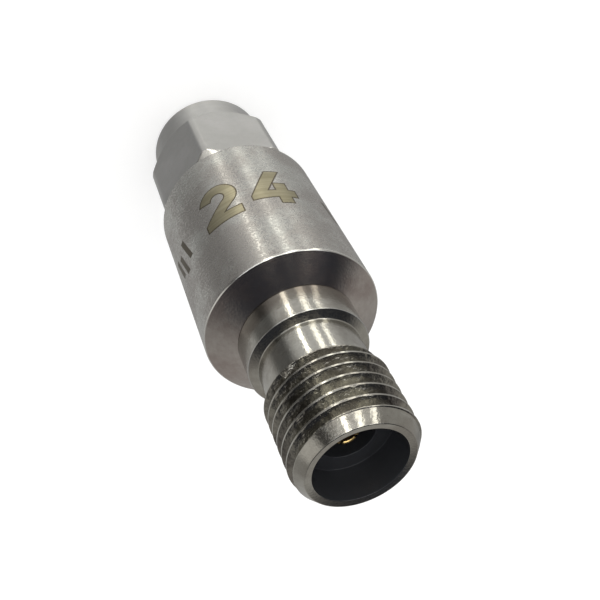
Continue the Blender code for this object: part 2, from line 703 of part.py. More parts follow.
def ground_spring(name, side):
    """Corrugated strip pressed between a ground pad and the carrier's cover."""
    middle = side * (CHIP_WIDTH / 2 - GROUND_PAD_WIDTH / 2)
    swing = (SPRING_HEIGHT - SPRING_THICKNESS) / 2
    centre = FILM_FRONT + SEAT + SPRING_HEIGHT / 2
    low = CHIP_BOTTOM + EDGE
    steps = SPRING_WAVE_STEPS * SPRING_WAVES
    points = []
    for step in range(steps + 1):
        phase = 2 * pi * step / SPRING_WAVE_STEPS
        height = low + (CHIP_LENGTH - 2 * EDGE) * step / steps
        points.append((centre - swing * cos(phase), height))
    half = GROUND_PAD_WIDTH / 2 - SPRING_SIDE_CLEARANCE
    return ribbon(name, points, SPRING_THICKNESS, middle - half, middle + half, SPRING_COPPER)


def carrier_half(name, side):
    """Half of the split block round the chip: side is +1 over the films and -1 behind the plate."""
    arc = [2 * pi * index / PLUG_FACETS for index in range(PLUG_FACETS // 2 + 1)]
    outline = [(CARRIER_RADIUS * cos(a), side * (CARRIER_RADIUS * sin(a) + SEAT / 4)) for a in arc]
    half = piece(name, prism(outline, CARRIER_BOTTOM, CARRIER_TOP), BRASS)
    ends = (
        ("lower_line", CARRIER_BOTTOM - EDGE, CHIP_POCKET_BOTTOM + SEAT),
        ("upper_line", CHIP_POCKET_TOP - SEAT, CARRIER_TOP + EDGE),
    )
    for end_name, low, high in ends:
        bore = prism(circle_points(LINE_RADIUS, INNER_FACETS), low, high)
        combine(half, cutter(f"{name}_{end_name}", bore))
    pocket_half = CHIP_WIDTH / 2 + 2 * SEAT
    if side > 0:
        pocket_depth = FILM_FRONT + SPRING_HEIGHT + 2 * SEAT
    else:
        pocket_depth = CHIP_THICKNESS + 2 * SEAT
    pocket_span = sorted((side * pocket_depth, -side * EDGE))
    pocket = block(
        (-pocket_half, pocket_span[0], CHIP_POCKET_BOTTOM),
        (pocket_half, pocket_span[1], CHIP_POCKET_TOP),
    )
    combine(half, cutter(f"{name}_pocket", pocket))
    if side > 0:
        channel = block(
            (-CARRIER_CHANNEL_WIDTH / 2, -EDGE, CHIP_POCKET_BOTTOM - SEAT),
            (CARRIER_CHANNEL_WIDTH / 2, CARRIER_CHANNEL_DEPTH, CHIP_POCKET_TOP + SEAT),
        )
        combine(half, cutter(f"{name}_channel", channel))
    for hole_side in (-1, 1):
        x, z = dowel_place(hole_side)
        outline = circle_points(DOWEL_RADIUS + SEAT, SMALL_FACETS, (x, z))
        reach = DOWEL_LENGTH / 2 + SEAT
        hole = prism(outline, *sorted((side * reach, -side * EDGE)), "Y")
        combine(half, cutter(f"{name}_dowel_hole_{hole_side + 2}", hole))
    return half


def dowel_place(side):
    """Centre of a dowel in (x, z): one near each end, on opposite sides of the chip."""
    if side < 0:
        return -DOWEL_OFFSET, CARRIER_BOTTOM + DOWEL_END_DISTANCE
    return DOWEL_OFFSET, CARRIER_TOP - DOWEL_END_DISTANCE


def carrier_dowel(name, side):
    """Plain pin that lines up the two halves of the carrier."""
    outline = circle_points(DOWEL_RADIUS, SMALL_FACETS, dowel_place(side))
    half = DOWEL_LENGTH / 2
    return piece(name, prism(outline, -half, half, "Y"), STEEL)


def preload_washer():
    """Wave washer that presses the carrier against the jack's spigot."""
    middle = PLUG_FLANGE_TOP + WASHER_ROOM / 2
    swing = (WASHER_ROOM - WASHER_THICKNESS) / 2 - SEAT
    half = WASHER_THICKNESS / 2
    profile = [
        (WASHER_INNER_RADIUS, middle - half),
        (WASHER_OUTER_RADIUS, middle - half),
        (WASHER_OUTER_RADIUS, middle + half),
        (WASHER_INNER_RADIUS, middle + half),
    ]
    bm = lathe(profile, 2 * INNER_FACETS)
    for index, vert in enumerate(bm.verts):
        angle = 2 * pi * (index % (2 * INNER_FACETS)) / (2 * INNER_FACETS)
        vert.co.z += swing * cos(WASHER_WAVES * angle)
    return piece("preload_washer", bm, SPRING_COPPER)


def build():
    """Make every piece at its place."""
    clear_scene()
    body_sleeve()
    jack_shell()
    plug_shell()
    coupling_nut()
    nut_retaining_ring()
    jack_contact()
    contact_stem("jack_contact_stem", JACK_BEAD_TOP, JACK_BEAD_BOTTOM, JACK_STEM_END)
    support_bead("jack_bead", JACK_BEAD_BOTTOM, JACK_BEAD_TOP)
    bead_ring("jack_bead_ring", SPIGOT_BOTTOM, JACK_BEAD_BOTTOM - SEAT)
    plug_pin()
    contact_stem("plug_pin_stem", PLUG_BEAD_BOTTOM, PLUG_BEAD_TOP, PLUG_STEM_END)
    support_bead("plug_bead", PLUG_BEAD_BOTTOM, PLUG_BEAD_TOP)
    bead_ring("plug_bead_ring", PLUG_BEAD_TOP + SEAT, PLUG_FLANGE_TOP)
    attenuator_chip()
    chip_films()
    contact_tab("jack_contact_tab", JACK_STEM_END, -1.0)
    contact_tab("plug_contact_tab", PLUG_STEM_END, 1.0)
    ground_spring("ground_spring_left", -1.0)
    ground_spring("ground_spring_right", 1.0)
    carrier_half("carrier_cover", 1.0)
    carrier_half("carrier_base", -1.0)
    carrier_dowel("carrier_dowel_lower", -1)
    carrier_dowel("carrier_dowel_upper", 1)
    preload_washer()


build()
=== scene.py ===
# %% [markdown]
# # A coaxial attenuator, dressed for its portrait
#
# The real object is a plug and a jack with a small resistive chip between them, in a steel sleeve.
# The engineering model already has every piece at its real size.
# This notebook keeps those pieces as a fixed frame and makes the finish: edges that catch the light,
# a real cut thread, turned and blasted steel, plated contacts, and the plain studio round them.

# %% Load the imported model
from math import cos, pi, radians, sin, sqrt, tan

import bmesh
import bpy
import numpy as np
from mathutils import Matrix, Vector


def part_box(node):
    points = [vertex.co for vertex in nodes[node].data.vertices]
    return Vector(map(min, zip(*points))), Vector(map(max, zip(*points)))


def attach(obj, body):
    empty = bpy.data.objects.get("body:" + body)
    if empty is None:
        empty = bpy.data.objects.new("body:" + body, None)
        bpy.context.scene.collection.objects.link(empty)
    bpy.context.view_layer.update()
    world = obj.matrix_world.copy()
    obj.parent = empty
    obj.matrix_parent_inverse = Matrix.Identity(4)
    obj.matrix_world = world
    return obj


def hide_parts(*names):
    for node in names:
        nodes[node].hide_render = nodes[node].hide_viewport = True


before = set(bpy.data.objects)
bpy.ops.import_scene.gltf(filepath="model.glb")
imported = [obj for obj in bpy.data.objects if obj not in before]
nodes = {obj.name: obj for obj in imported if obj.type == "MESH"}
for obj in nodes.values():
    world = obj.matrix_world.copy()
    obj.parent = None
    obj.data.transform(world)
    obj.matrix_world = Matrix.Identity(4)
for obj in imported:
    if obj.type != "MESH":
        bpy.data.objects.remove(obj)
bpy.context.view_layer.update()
MM = 0.001
print("pieces in the frame:", len(nodes))

# %% [markdown]
# ## The camera
#
# The photo was taken from above the jack, close to the part, with the camera rolled over.
# A camera could be aimed with a Track To constraint, but the roll is easier to read as a number.
# So the view is three angles, and the place is where the perspective of the rims puts it.

# %% Place the camera
CAMERA_PLACE_MM = Vector((0.0, -30.67, 51.0))
CAMERA_AZIMUTH = -88.31
CAMERA_ELEVATION = 46.97
CAMERA_ROLL = 153.01
CAMERA_LENS = 49.73
CAMERA_SENSOR = 36.0


def direction(azimuth, elevation):
    """Unit vector at an azimuth and an elevation in degrees."""
    flat = cos(radians(elevation))
    return Vector((flat * cos(radians(azimuth)), flat * sin(radians(azimuth)), sin(radians(elevation))))


camera_data = bpy.data.cameras.new("camera")
camera_data.lens = CAMERA_LENS
camera_data.sensor_width = CAMERA_SENSOR
camera_data.clip_start = 0.001
camera = bpy.data.objects.new("camera", camera_data)
bpy.context.scene.collection.objects.link(camera)
aim = (-direction(CAMERA_AZIMUTH, CAMERA_ELEVATION)).to_track_quat("-Z", "Y")
roll = Matrix.Rotation(radians(CAMERA_ROLL), 4, "Z")
camera.matrix_world = Matrix.Translation(CAMERA_PLACE_MM * MM) @ aim.to_matrix().to_4x4() @ roll
bpy.context.scene.camera = camera
print("camera looks along", [round(x, 3) for x in -direction(CAMERA_AZIMUTH, CAMERA_ELEVATION)])

# %% [markdown]
# ## Wiring shader nodes
#
# Every finish below is a graph of nodes. Placing nodes by hand is slow to read,
# so two small helpers add a node, link what is a socket and set what is a number.

# %% Helpers for node graphs


def put(socket, value):
    """Link a socket to an input, or set the input to a number or a colour."""
    if isinstance(value, bpy.types.NodeSocket):
        socket.id_data.links.new(value, socket)
    else:
        socket.default_value = value


def add(tree, kind, settings=None, **inputs):
    """Add a node, set its properties and fill the inputs named by their labels."""
    node = tree.nodes.new(kind)
    for name, value in (settings or {}).items():
        setattr(node, name, value)
    for label, value in inputs.items():
        put(node.inputs[label.replace("_", " ")], value)
    return node


def calc(tree, operation, *values):
    """A Math node on up to three values."""
    node = tree.nodes.new("ShaderNodeMath")
    node.operation = operation
    for socket, value in zip(node.inputs, values):
        put(socket, value)
    return node.outputs[0]


def spread(tree, value, low, high, to_low=0.0, to_high=1.0, kind="SMOOTHSTEP"):
    """Map a value from one range to another, with soft ends."""
    node = tree.nodes.new("ShaderNodeMapRange")
    node.interpolation_type = kind
    for label, number in (("From Min", low), ("From Max", high), ("To Min", to_low), ("To Max", to_high)):
        put(node.inputs[label], number)
    put(node.inputs["Value"], value)
    return node.outputs["Result"]


def blend_colours(tree, factor, first, second, mode="MIX"):
    """Mix two colours by a factor."""
    node = tree.nodes.new("ShaderNodeMix")
    node.data_type = "RGBA"
    node.blend_type = mode
    put(node.inputs[0], factor)
    put(node.inputs[6], first)
    put(node.inputs[7], second)
    return node.outputs[2]


# %% [markdown]
# ## The studio
#
# Bare metal has no colour of its own to speak of: it shows the room. The photo's part reflects a pale
# table with a shaded side, paler walls, a dark shape overhead, three narrow strips of light and a band
# of window light. Lamps and cards could be hung for each, but a polished cylinder would show their ends.
# A world that is written as a function of direction has no ends, makes no noise, and looks the same
# from every side, so the room is made there. Azimuth and elevation, in degrees, say where each thing is.
# The camera and diffuse light see plain white.

# %% Studio: measures of the room
# A patch is its azimuth, the turns up to which it is full and beyond which it is gone, and its light.
TABLE_TINT = (1.0, 0.99, 0.965, 1.0)
WALL_TINT = (1.0, 0.965, 0.91, 1.0)
STRIP_TINT = (1.0, 0.97, 0.86, 1.0)
CAP_COLOUR = (0.037, 0.039, 0.047, 1.0)
HORIZON = (-14.0, 12.0)
LOW_TONE = 0.50
LOW_PATCHES = ((-122.0, 34.0, 66.0, 0.30), (-10.0, 20.0, 60.0, 0.08), (104.0, 12.0, 34.0, -0.18))
SHADE = (-36.0, 13.0, 36.0, -0.42)
SHADE_FOOT = (-66.0, -46.0)
HIGH_TONE = 0.34
HIGH_PATCHES = (
    (-116.0, 30.0, 46.0, 0.38), (-20.0, 8.0, 26.0, 0.37), (-53.0, 4.0, 16.0, -0.26),
    (95.0, 40.0, 80.0, 0.12), (165.0, 15.0, 40.0, 0.05),
)
STRIPS = (   # azimuths low down, high up and overhead, half width, strength, elevations of both ends
    (-94.5, -96.5, -98.0, 3.6, 3.6, (-66.0, -45.0), (60.0, 72.0)),
    (-126.0, -122.0, -136.0, 5.4, 2.0, (-66.0, -45.0), (57.0, 69.0)),
    (-148.5, -148.0, -162.0, 3.8, 2.0, (-51.0, -45.0), (55.0, 63.0)),
)
STRIP_LEAN = (-47.0, 22.0)
STRIP_BEND = (46.0, 68.0)
WINDOW = (-112.0, 45.0, 70.0, 2.2)
WINDOW_FOOT = (38.0, 43.0)
WINDOW_HEAD = (47.0, 53.0)
CAP_MIDDLE = (135.0, 81.0)
CAP_SIDE = (36.0, 55.0)

# %% Studio: the room that the metal reflects
world = bpy.data.worlds.new("studio")
bpy.context.scene.world = world
world.use_nodes = True
room = world.node_tree
room.nodes.clear()
compass = add(room, "ShaderNodeTexCoord")
parts = add(room, "ShaderNodeSeparateXYZ", Vector=compass.outputs["Generated"])
azimuth = calc(room, "DEGREES", calc(room, "ARCTAN2", parts.outputs["Y"], parts.outputs["X"]))
elevation = calc(room, "DEGREES", calc(room, "ARCSINE", parts.outputs["Z"]))


def turn_from(centre):
    """Angle in degrees from an azimuth, the short way round."""
    shifted = calc(room, "WRAP", calc(room, "SUBTRACT", azimuth, centre), 180.0, -180.0)
    return calc(room, "ABSOLUTE", shifted)


def patchwork(tone, patches):
    """Lay flat patches of light or shade, with soft sides, over an even tone."""
    for centre, inner, outer, amount in patches:
        tone = calc(room, "ADD", tone, spread(room, turn_from(centre), inner, outer, amount, 0.0))
    return tone


# %% Studio: table, walls and the dark cap
low = patchwork(LOW_TONE, LOW_PATCHES)
shade = calc(room, "MULTIPLY", patchwork(0.0, (SHADE,)), spread(room, elevation, *SHADE_FOOT))
table = blend_colours(room, 1.0, TABLE_TINT, calc(room, "ADD", low, shade), "MULTIPLY")
walls = blend_colours(room, 1.0, WALL_TINT, patchwork(HIGH_TONE, HIGH_PATCHES), "MULTIPLY")
base = blend_colours(room, spread(room, elevation, *HORIZON), table, walls)

cap_axis = add(room, "ShaderNodeVectorMath", {"operation": "DOT_PRODUCT"})
put(cap_axis.inputs[0], compass.outputs["Generated"])
cap_axis.inputs[1].default_value = direction(*CAP_MIDDLE)
cap_angle = calc(room, "DEGREES", calc(room, "ARCCOSINE", cap_axis.outputs["Value"]))
light = blend_colours(room, spread(room, cap_angle, *CAP_SIDE), CAP_COLOUR, base)

# %% Studio: strips of light, the window, and what each kind of ray sees
for low_azimuth, high_azimuth, overhead, reach, strength, foot_range, head_range in STRIPS:
    foot = spread(room, elevation, *foot_range)
    head = spread(room, elevation, *head_range, 1.0, 0.0)
    lean = spread(room, elevation, *STRIP_LEAN, low_azimuth, high_azimuth, "LINEAR")
    bend = spread(room, elevation, *STRIP_BEND, 0.0, overhead - high_azimuth, "LINEAR")
    middle = calc(room, "ADD", lean, bend)
    core = spread(room, turn_from(middle), reach * 0.6, reach * 1.4, strength, 0.0)
    power = calc(room, "MULTIPLY", calc(room, "MULTIPLY", core, foot), head)
    strip = blend_colours(room, 1.0, STRIP_TINT, power, "MULTIPLY")
    light = blend_colours(room, 1.0, light, strip, "ADD")

above_sill = spread(room, elevation, *WINDOW_FOOT)
below_lintel = spread(room, elevation, *WINDOW_HEAD, 1.0, 0.0)
pane = calc(room, "MULTIPLY", above_sill, below_lintel)
window = calc(room, "MULTIPLY", pane, patchwork(0.0, (WINDOW,)))
light = blend_colours(room, 1.0, light, window, "ADD")

rays = add(room, "ShaderNodeLightPath")
plain = calc(room, "MAXIMUM", rays.outputs["Is Camera Ray"], rays.outputs["Is Diffuse Ray"])
seen = blend_colours(room, plain, light, (1.0, 1.0, 1.0, 1.0))
background = add(room, "ShaderNodeBackground", Color=seen, Strength=1.0)
add(room, "ShaderNodeOutputWorld", Surface=background.outputs[0])
print("strips at azimuths", [strip[0] for strip in STRIPS])

# %% [markdown]
# ## The floor
#
# A white sheet with a soft shadow. A plain white plane under even light is right at once,
# and a faint glow that only the camera sees keeps the shadow light, as in the photo.
# Metal sees the pale room instead of the sheet, so the strips reach the lowest surfaces too.

# %% Floor
FLOOR_REACH = 0.6
FLOOR_DROP = 0.00002
FLOOR_GLOW = 0.5

floor_mesh = bpy.data.meshes.new("floor")
corners = [(-FLOOR_REACH, -FLOOR_REACH, 0), (FLOOR_REACH, -FLOOR_REACH, 0)]
corners += [(FLOOR_REACH, FLOOR_REACH, 0), (-FLOOR_REACH, FLOOR_REACH, 0)]
floor_mesh.from_pydata(corners, [], [(0, 1, 2, 3)])
floor = bpy.data.objects.new("floor", floor_mesh)
bpy.context.scene.collection.objects.link(floor)
floor.location.z = -FLOOR_DROP
floor.visible_glossy = False
paper = bpy.data.materials.new("white_paper")
paper.use_nodes = True
sheet = paper.node_tree
sheet.nodes.clear()
fibre = add(sheet, "ShaderNodeTexNoise", Scale=900.0, Detail=3.0)
white = spread(sheet, fibre.outputs["Fac"], 0.2, 0.8, 0.56, 0.58, "LINEAR")
matt = add(sheet, "ShaderNodeBsdfDiffuse", Color=white)
sight = add(sheet, "ShaderNodeLightPath")
glow = calc(sheet, "MULTIPLY", sight.outputs["Is Camera Ray"], FLOOR_GLOW)
shine = add(sheet, "ShaderNodeEmission", Strength=glow)
both = add(sheet, "ShaderNodeAddShader")
put(both.inputs[0], matt.outputs[0])
put(both.inputs[1], shine.outputs[0])
add(sheet, "ShaderNodeOutputMaterial", Surface=both.outputs[0])
floor_mesh.materials.append(paper)

# %% Key lamp
KEY_SIZE = 0.12
KEY_DISTANCE = 0.16
KEY_POWER = 0.012
KEY_WAY = direction(-150.0, 55.0)
lamp_data = bpy.data.lights.new("soft_box", "AREA")
lamp_data.shape = "DISK"
lamp_data.size = KEY_SIZE
lamp_data.energy = KEY_POWER
lamp = bpy.data.objects.new("soft_box", lamp_data)
bpy.context.scene.collection.objects.link(lamp)
lamp_turn = KEY_WAY.to_track_quat("Z", "Y").to_matrix().to_4x4()
lamp.matrix_world = Matrix.Translation(KEY_WAY * KEY_DISTANCE) @ lamp_turn
lamp.visible_glossy = False
bpy.context.scene.view_settings.view_transform = "Standard"
print("key lamp stands at, in mm:", [round(x / MM) for x in KEY_WAY * KEY_DISTANCE])

# %% [markdown]
# ## Effects that several finishes share
#
# Turned metal has fine rings left by the tool, and blasted metal has a grain of tiny dents.
# Handling leaves a thin uneven film, and rounded edges get a lighter colour as a painted highlight. Painted
# textures would need unwrapping. Worked out from the place on the part, in millimetres, the effects fit
# every piece.
# Each is a node group with named values, and puts out masks and heights only.

# %% Node group helper


def effect(name, inputs, outputs):
    """An empty node group with float inputs (with defaults) and float outputs."""
    group = bpy.data.node_groups.new(name, "ShaderNodeTree")
    for label, value in inputs:
        socket = group.interface.new_socket(name=label, in_out="INPUT", socket_type="NodeSocketFloat")
        socket.default_value = value
    for label in outputs:
        group.interface.new_socket(name=label, in_out="OUTPUT", socket_type="NodeSocketFloat")
    start = group.nodes.new("NodeGroupInput")
    end = group.nodes.new("NodeGroupOutput")
    return group, start.outputs, end.inputs


def place_in_mm(tree):
    """The place on the part, in millimetres."""
    where = add(tree, "ShaderNodeTexCoord")
    scaled = add(tree, "ShaderNodeVectorMath", {"operation": "SCALE"})
    put(scaled.inputs[0], where.outputs["Object"])
    scaled.inputs["Scale"].default_value = 1.0 / MM
    return scaled.outputs[0]


# %% Turned marks: rings left by the lathe tool
turned_marks, given, out = effect("turned_marks", [("Lines per mm", 9.0), ("Wander", 0.6)],
                                  ["Height", "Tone"])
split = add(turned_marks, "ShaderNodeSeparateXYZ", Vector=place_in_mm(turned_marks))
x, y, z = split.outputs
x_squared = calc(turned_marks, "MULTIPLY", x, x)
y_squared = calc(turned_marks, "MULTIPLY", y, y)
radius = calc(turned_marks, "SQRT", calc(turned_marks, "ADD", x_squared, y_squared))
safe = calc(turned_marks, "MAXIMUM", radius, 0.001)
across = calc(turned_marks, "MULTIPLY", calc(turned_marks, "DIVIDE", x, safe), given["Wander"])
along = calc(turned_marks, "MULTIPLY", calc(turned_marks, "DIVIDE", y, safe), given["Wander"])
ring = add(turned_marks, "ShaderNodeCombineXYZ")
put(ring.inputs[0], calc(turned_marks, "MULTIPLY", radius, given["Lines per mm"]))
put(ring.inputs[1], calc(turned_marks, "MULTIPLY", z, given["Lines per mm"]))
put(ring.inputs[2], across)
lines = add(turned_marks, "ShaderNodeTexNoise", {"noise_dimensions": "4D"}, Scale=1.0, Detail=4.0)
put(lines.inputs["Vector"], ring.outputs[0])
put(lines.inputs["W"], along)
put(out["Height"], lines.outputs["Fac"])
put(out["Tone"], spread(turned_marks, lines.outputs["Fac"], 0.3, 0.7))

# %% Blast grain: small dents all over
blast_grain, given, out = effect("blast_grain", [("Grains per mm", 8.0), ("Fleck", 0.62)],
                                 ["Height", "Fleck", "Speck"])
here = place_in_mm(blast_grain)
grain = add(blast_grain, "ShaderNodeTexNoise", Vector=here, Scale=given["Grains per mm"], Detail=2.5)
pits = add(blast_grain, "ShaderNodeTexVoronoi", Vector=here, Scale=given["Grains per mm"])
height = calc(blast_grain, "MULTIPLY_ADD", pits.outputs["Distance"], 0.5, grain.outputs["Fac"])
put(out["Height"], height)
edge = calc(blast_grain, "ADD", given["Fleck"], 0.12)
put(out["Fleck"], spread(blast_grain, grain.outputs["Fac"], given["Fleck"], edge))
put(out["Speck"], spread(blast_grain, grain.outputs["Fac"], 0.54, 0.40))

# %% Handling film: large uneven patches
handling_film, given, out = effect("handling_film", [("Patches per mm", 0.16)], ["Patch", "Mottle"])
here = place_in_mm(handling_film)
patch = add(handling_film, "ShaderNodeTexNoise", Vector=here, Scale=given["Patches per mm"], Detail=3.0)
finer = calc(handling_film, "MULTIPLY", given["Patches per mm"], 7.0)
mottle = add(handling_film, "ShaderNodeTexNoise", Vector=here, Scale=finer, Detail=4.0)
put(out["Patch"], spread(handling_film, patch.outputs["Fac"], 0.35, 0.65))
put(out["Mottle"], spread(handling_film, mottle.outputs["Fac"], 0.3, 0.7))

# %% Painted edge highlight: a mask where a rounded normal leaves the flat one
painted_edge_highlight, given, out = effect("painted_edge_highlight", [("Reach in mm", 0.05)], ["Edge"])
soft = add(painted_edge_highlight, "ShaderNodeBevel", {"samples": 6})
put(soft.inputs["Radius"], calc(painted_edge_highlight, "MULTIPLY", given["Reach in mm"], MM))
true = add(painted_edge_highlight, "ShaderNodeNewGeometry")
match = add(painted_edge_highlight, "ShaderNodeVectorMath", {"operation": "DOT_PRODUCT"})
put(match.inputs[0], soft.outputs[0])
put(match.inputs[1], true.outputs["Normal"])
put(out["Edge"], spread(painted_edge_highlight, match.outputs["Value"], 0.995, 0.90))
print("node groups:", [g.name for g in bpy.data.node_groups])

# %% [markdown]
# ## Steel
#
# The sleeve, the nut and both shells are passivated stainless steel: grey, slightly warm, satin.
# Single materials could be drawn for each, but they would repeat the same graph.
# One function writes the material, and each piece sets its own tone, grain and rings.
# The rings stretch a highlight along the axis, so the shader is anisotropic round Z.
# The thread has dents, and its darker, browner colour is painted shade in its grooves. The bore's
# near-black colour is painted shade, and some corners are polished and get a lighter colour as a painted
# highlight.

# %% A function for every metal
FLECK_COVER = 0.30
FLECK_TONE = 0.62
# How much lighter the painted highlight on rounded edges is.
EDGE_HIGHLIGHT_TONE = 1.6
WORN_ROUGHNESS = 0.08


def use(tree, group, **values):
    """Place a node group and set its inputs."""
    node = tree.nodes.new("ShaderNodeGroup")
    node.node_tree = group
    for label, value in values.items():
        put(node.inputs[label.replace("_", " ")], value)
    return node.outputs


def metal(name, light_tone, dark_tone, rough, grain=8.0, grain_depth=1.0, rings=9.0, ring_depth=1.0,
          ring_tone=0.12, wander=0.6, stretch=0.6, film=0.5, patches=0.16, edge_highlight_gain=0.25, shine=0.0,
          metallic=1.0):
    """A turned and blasted metal finish.

    Tones are linear colours and depths are in micrometres. Shine is how much smoother the specks
    between the dents are.
    """
    made = bpy.data.materials.new(name)
    made.use_nodes = True
    tree = made.node_tree
    shader = tree.nodes["Principled BSDF"]
    marks = use(tree, turned_marks, Lines_per_mm=rings, Wander=wander)
    dents = use(tree, blast_grain, Grains_per_mm=grain)
    smear = use(tree, handling_film, Patches_per_mm=patches)
    highlight_mask = use(tree, painted_edge_highlight)

    worn = calc(tree, "MULTIPLY", smear["Patch"], film)
    worn = calc(tree, "MULTIPLY_ADD", smear["Mottle"], film * 0.4, worn)
    worn = calc(tree, "MULTIPLY_ADD", marks["Tone"], ring_tone, worn)
    colour = blend_colours(tree, worn, (*light_tone, 1.0), (*dark_tone, 1.0))
    flecked = calc(tree, "MULTIPLY", dents["Fleck"], FLECK_COVER)
    colour = blend_colours(tree, flecked, colour, (*[FLECK_TONE * c for c in dark_tone], 1.0))
    # Rounded edges get a lighter colour: a painted highlight.
    bright = calc(tree, "MULTIPLY", highlight_mask["Edge"], edge_highlight_gain)
    highlight_tone = [min(1.0, EDGE_HIGHLIGHT_TONE * c) for c in light_tone]
    colour = blend_colours(tree, bright, colour, (*highlight_tone, 1.0))
    put(shader.inputs["Base Color"], colour)

    gloss = calc(tree, "MULTIPLY_ADD", worn, WORN_ROUGHNESS, rough - 0.03)
    gloss = calc(tree, "MULTIPLY_ADD", dents["Speck"], -shine, gloss)
    put(shader.inputs["Roughness"], gloss)
    shader.inputs["Metallic"].default_value = metallic

    depth = calc(tree, "MULTIPLY", marks["Height"], ring_depth)
    depth = calc(tree, "MULTIPLY_ADD", dents["Height"], grain_depth, depth)
    relief = add(tree, "ShaderNodeBump", Height=depth, Distance=1e-6, Strength=1.0)
    put(shader.inputs["Normal"], relief.outputs["Normal"])
    if stretch:
        shader.inputs["Anisotropic"].default_value = stretch
        shader.inputs["Anisotropic Rotation"].default_value = 0.25
        round_axis = add(tree, "ShaderNodeTangent", {"direction_type": "RADIAL", "axis": "Z"})
        put(shader.inputs["Tangent"], round_axis.outputs[0])
    return made


# %% The steels
STEEL_LIGHT = (0.475, 0.48, 0.46)
STEEL_DARK = (0.365, 0.35, 0.335)
sleeve_steel = metal("sleeve_steel", STEEL_LIGHT, STEEL_DARK, 0.36, grain=7.5, grain_depth=0.8, rings=7.0,
                     film=0.9, patches=0.40, shine=0.19, metallic=0.85)
cone_steel = metal("cone_steel", (0.50, 0.475, 0.455), (0.38, 0.335, 0.32), 0.16, grain=8.0,
                   grain_depth=2.6, ring_depth=0.3, stretch=0.3, film=0.8, patches=0.4)
jack_steel = metal("jack_steel", (0.475, 0.47, 0.435), (0.35, 0.335, 0.305), 0.17, grain=9.0,
                   grain_depth=3.4, rings=12.0, ring_depth=1.2, wander=3.0, shine=0.06, film=0.8,
                   patches=0.5)
# The thread's steel is darker and browner: painted shade in its grooves.
thread_painted_shade_steel = metal("thread_painted_shade_steel", (0.38, 0.37, 0.33), (0.15, 0.14, 0.13), 0.15, grain=7.0,
                     grain_depth=5.0, rings=3.6, ring_depth=62.0, wander=8.0, stretch=0.0, film=0.7,
                     patches=0.6)
nut_steel = metal("nut_steel", (0.46, 0.46, 0.46), (0.38, 0.38, 0.375), 0.44, grain=10.0, grain_depth=1.2,
                  rings=6.0, stretch=0.3, patches=0.3, metallic=0.85)
# A near-black steel for the mouth and bore: painted shade inside the jack.
bore_painted_shade_steel = metal("bore_painted_shade_steel", (0.055, 0.058, 0.066), (0.040, 0.042, 0.048), 0.40, grain_depth=1.0,
                   stretch=0.0, metallic=0.6)
# A polished steel for some edges: its much lighter colour is a painted highlight.
edge_highlight_steel = metal("edge_highlight_steel", (0.74, 0.74, 0.72), (0.64, 0.64, 0.62), 0.15, grain_depth=0.5,
                   ring_depth=0.3, stretch=0.0, film=0.3)
print("steels:", [m.name for m in bpy.data.materials if m.name.endswith("_steel")])

# %% [markdown]
# ## Turned shapes
#
# Most of this part came off a lathe, so one outline per piece says it all. A Screw modifier would turn
# the outline, but the thread and the hexagon also change with the angle. A grid of rings is as simple,
# and lets each ring have its own radius and height at every angle.
# Real edges are broken: each corner of an outline gets a small arc, held by a line close to each end,
# so that the smooth shading of the long faces stays true.

# %% Outlines with rounded corners
# How far past an arc the line lies that holds the shading, in millimetres.
HOLD = 0.012


def round_corners(outline, steps=3, closed=True):
    """Replace each corner (radius, height, edge) by an arc of that edge radius, in millimetres."""
    made = []
    count = len(outline)
    for index, (r, z, edge_radius) in enumerate(outline):
        here_point = Vector((r, z))
        if not closed and index in (0, count - 1) or edge_radius == 0.0:
            made.append((r, z))
            continue
        before = Vector(outline[index - 1][:2]) - here_point
        after = Vector(outline[(index + 1) % count][:2]) - here_point
        half = before.angle(after) / 2
        cut = min(edge_radius / tan(half), 0.45 * before.length, 0.45 * after.length)
        arc = cut * tan(half)
        middle = here_point + (before.normalized() + after.normalized()).normalized() * (arc / sin(half))
        start = here_point + before.normalized() * cut
        end = here_point + after.normalized() * cut
        first = start - middle
        sweep = first.angle_signed(end - middle)
        hold = min(HOLD, 0.04 * before.length)
        made.append(tuple(start + before.normalized() * hold))
        for step in range(steps + 1):
            angle = -sweep * step / steps
            made.append(tuple(middle + Matrix.Rotation(angle, 2) @ first))
        hold = min(HOLD, 0.04 * after.length)
        made.append(tuple(end + after.normalized() * hold))
    return made


def even_rings(points, columns):
    """Rings of constant radius and height, from outline points."""
    return [(np.full(columns + 1, r), np.full(columns + 1, z)) for r, z in points]


def ring_piece(name, rings, columns, closed=True):
    """Join rings of (radii, heights) in millimetres into one mesh. The last column repeats the first."""
    angles = np.linspace(0.0, 2 * pi, columns + 1)
    r = np.array([ring[0] for ring in rings])
    z = np.array([ring[1] for ring in rings])
    points = np.stack([r * np.cos(angles), r * np.sin(angles), z], axis=2).reshape(-1, 3) * MM
    width = columns + 1
    rows = len(rings)
    faces = []
    for row in range(rows if closed else rows - 1):
        low, high = row * width, (row + 1) % rows * width
        for column in range(columns):
            faces.append((low + column, low + column + 1, high + column + 1, high + column))
    mesh = bpy.data.meshes.new(name)
    mesh.from_pydata(points.tolist(), [], faces)
    bm = bmesh.new()
    bm.from_mesh(mesh)
    bmesh.ops.remove_doubles(bm, verts=bm.verts, dist=2e-7)
    bmesh.ops.recalc_face_normals(bm, faces=bm.faces)
    bm.to_mesh(mesh)
    bm.free()
    mesh.shade_smooth()
    made = bpy.data.objects.new(name, mesh)
    bpy.context.scene.collection.objects.link(made)
    triangles = sum(len(p.vertices) - 2 for p in mesh.polygons)
    print(f"{name}: {len(mesh.vertices)} points, {triangles} triangles")
    return made


